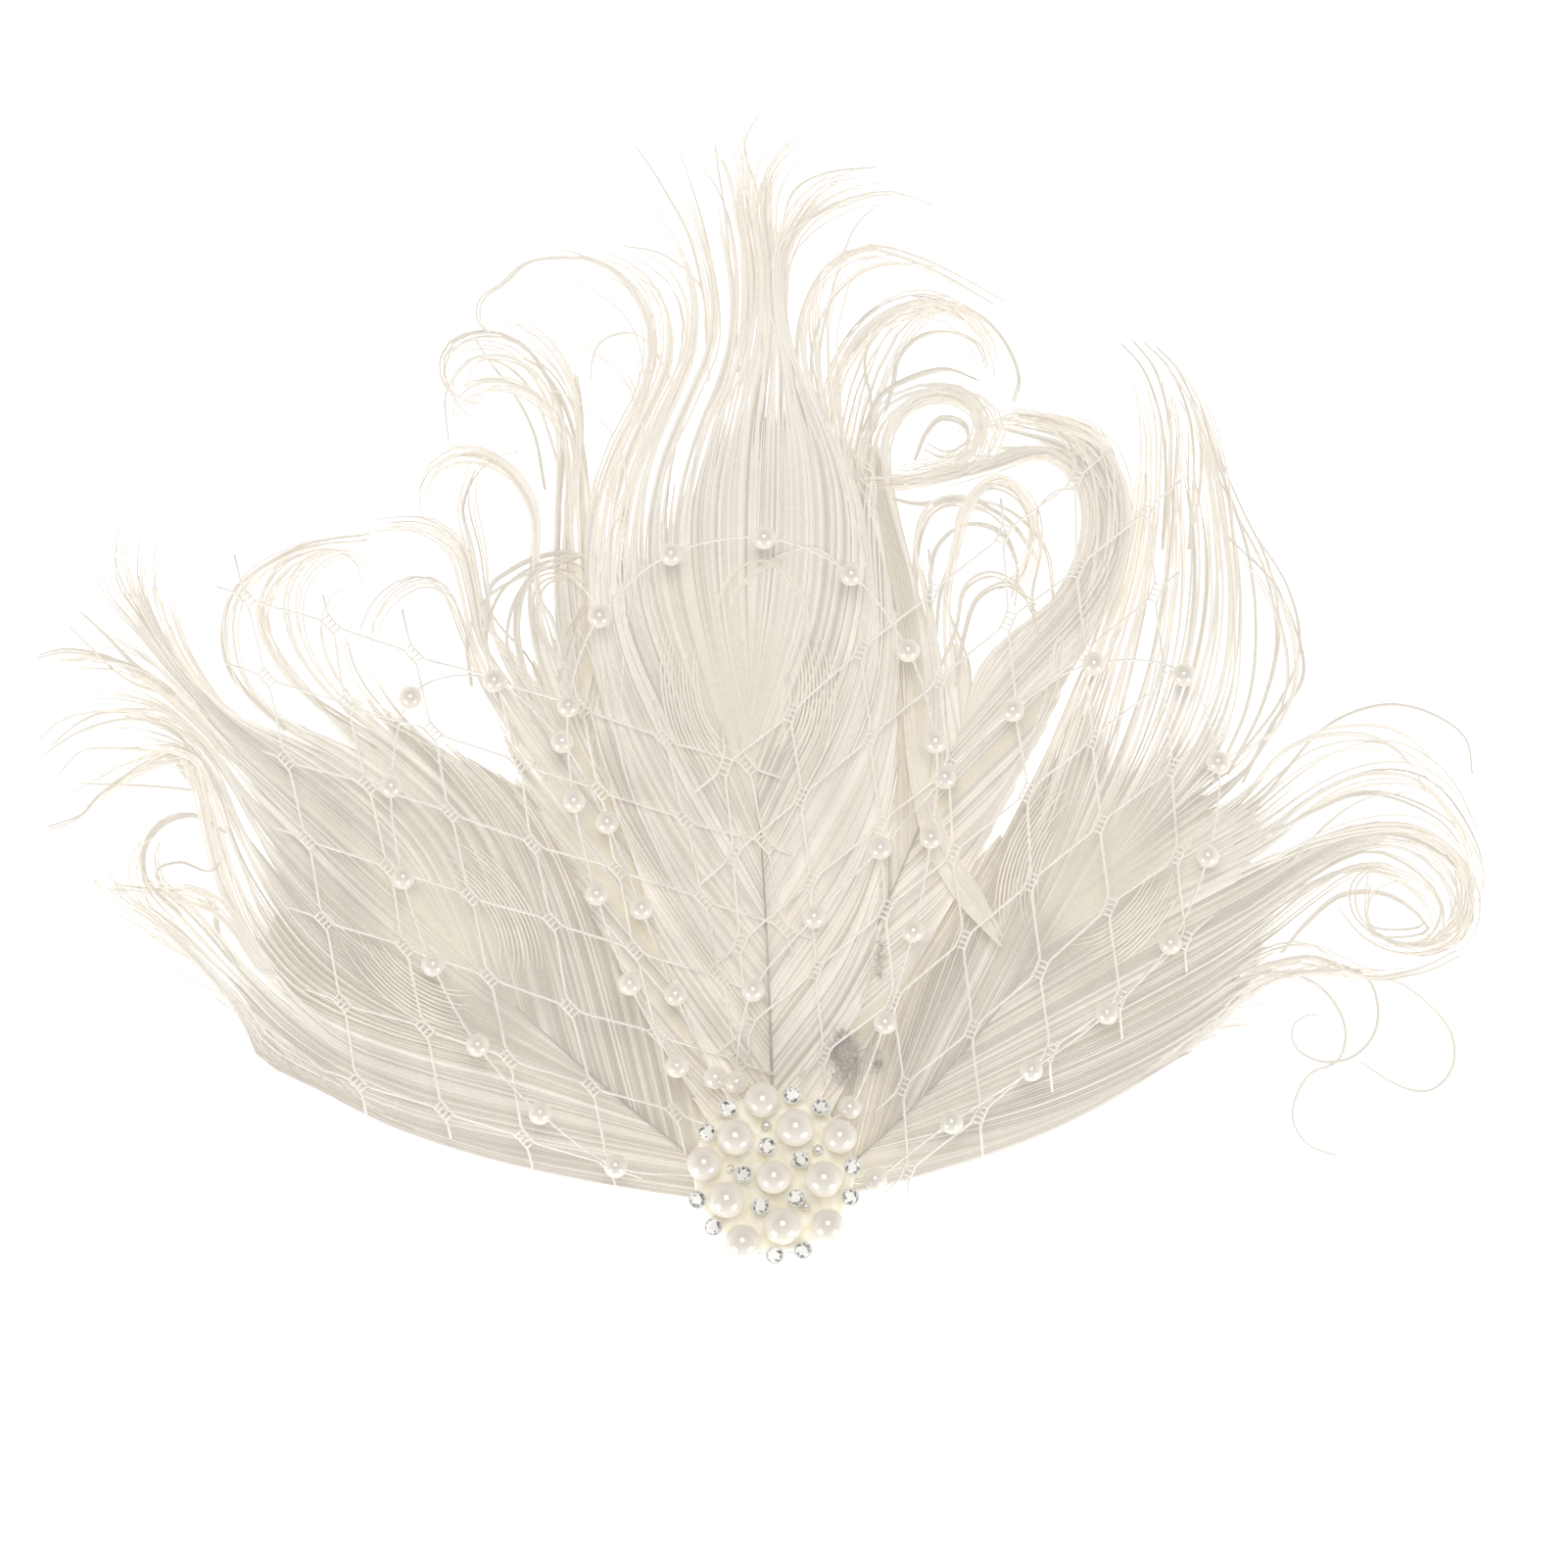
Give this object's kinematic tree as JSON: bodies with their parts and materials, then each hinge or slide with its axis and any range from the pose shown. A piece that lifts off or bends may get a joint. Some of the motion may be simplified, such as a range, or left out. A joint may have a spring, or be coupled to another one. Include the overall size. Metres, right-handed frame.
{
  "type": "feather fascinator hair clip",
  "caption": "Bridal fascinator of ivory feathers fanned from a pearl and rhinestone brooch on a hair clip, with birdcage net and looped strings of small pearls.",
  "frame": {"origin": "on the clip's flat back, below the brooch's centre", "axes": "+X to the wearer's right of the front view, +Y up the middle feather, +Z out of the front face; it lies on its back"},
  "size_m": [0.2373, 0.195, 0.0242],
  "materials": {
    "feather": "matte",
    "net": "matte",
    "beads": "gloss",
    "pearl": "gloss",
    "crystal": "polished",
    "setting": "satin",
    "clip": "satin"
  },
  "bodies": {
    "root": {"hair_clip": "clip", "feather_left": "feather", "feather_right": "feather", "feather_back_left": "feather", "feather_back_right": "feather", "feather_middle": "feather", "net_left": "net", "net_right": "net", "pearl_string_left": "beads", "pearl_string_middle": "beads", "pearl_string_right": "beads", "brooch_setting": "setting", "pearl_01": "pearl", "pearl_02": "pearl", "pearl_03": "pearl", "pearl_04": "pearl", "pearl_05": "pearl", "pearl_06": "pearl", "pearl_07": "pearl", "pearl_08": "pearl", "pearl_09": "pearl", "pearl_10": "pearl", "pearl_11": "pearl", "rhinestone_01": "crystal", "rhinestone_02": "crystal", "rhinestone_03": "crystal", "rhinestone_04": "crystal", "rhinestone_05": "crystal", "rhinestone_06": "crystal", "rhinestone_07": "crystal", "rhinestone_08": "crystal", "rhinestone_09": "crystal", "rhinestone_10": "crystal", "rhinestone_11": "crystal", "rhinestone_12": "crystal", "rhinestone_13": "crystal", "rhinestone_14": "crystal", "rhinestone_15": "crystal"}
  },
  "joints": []
}
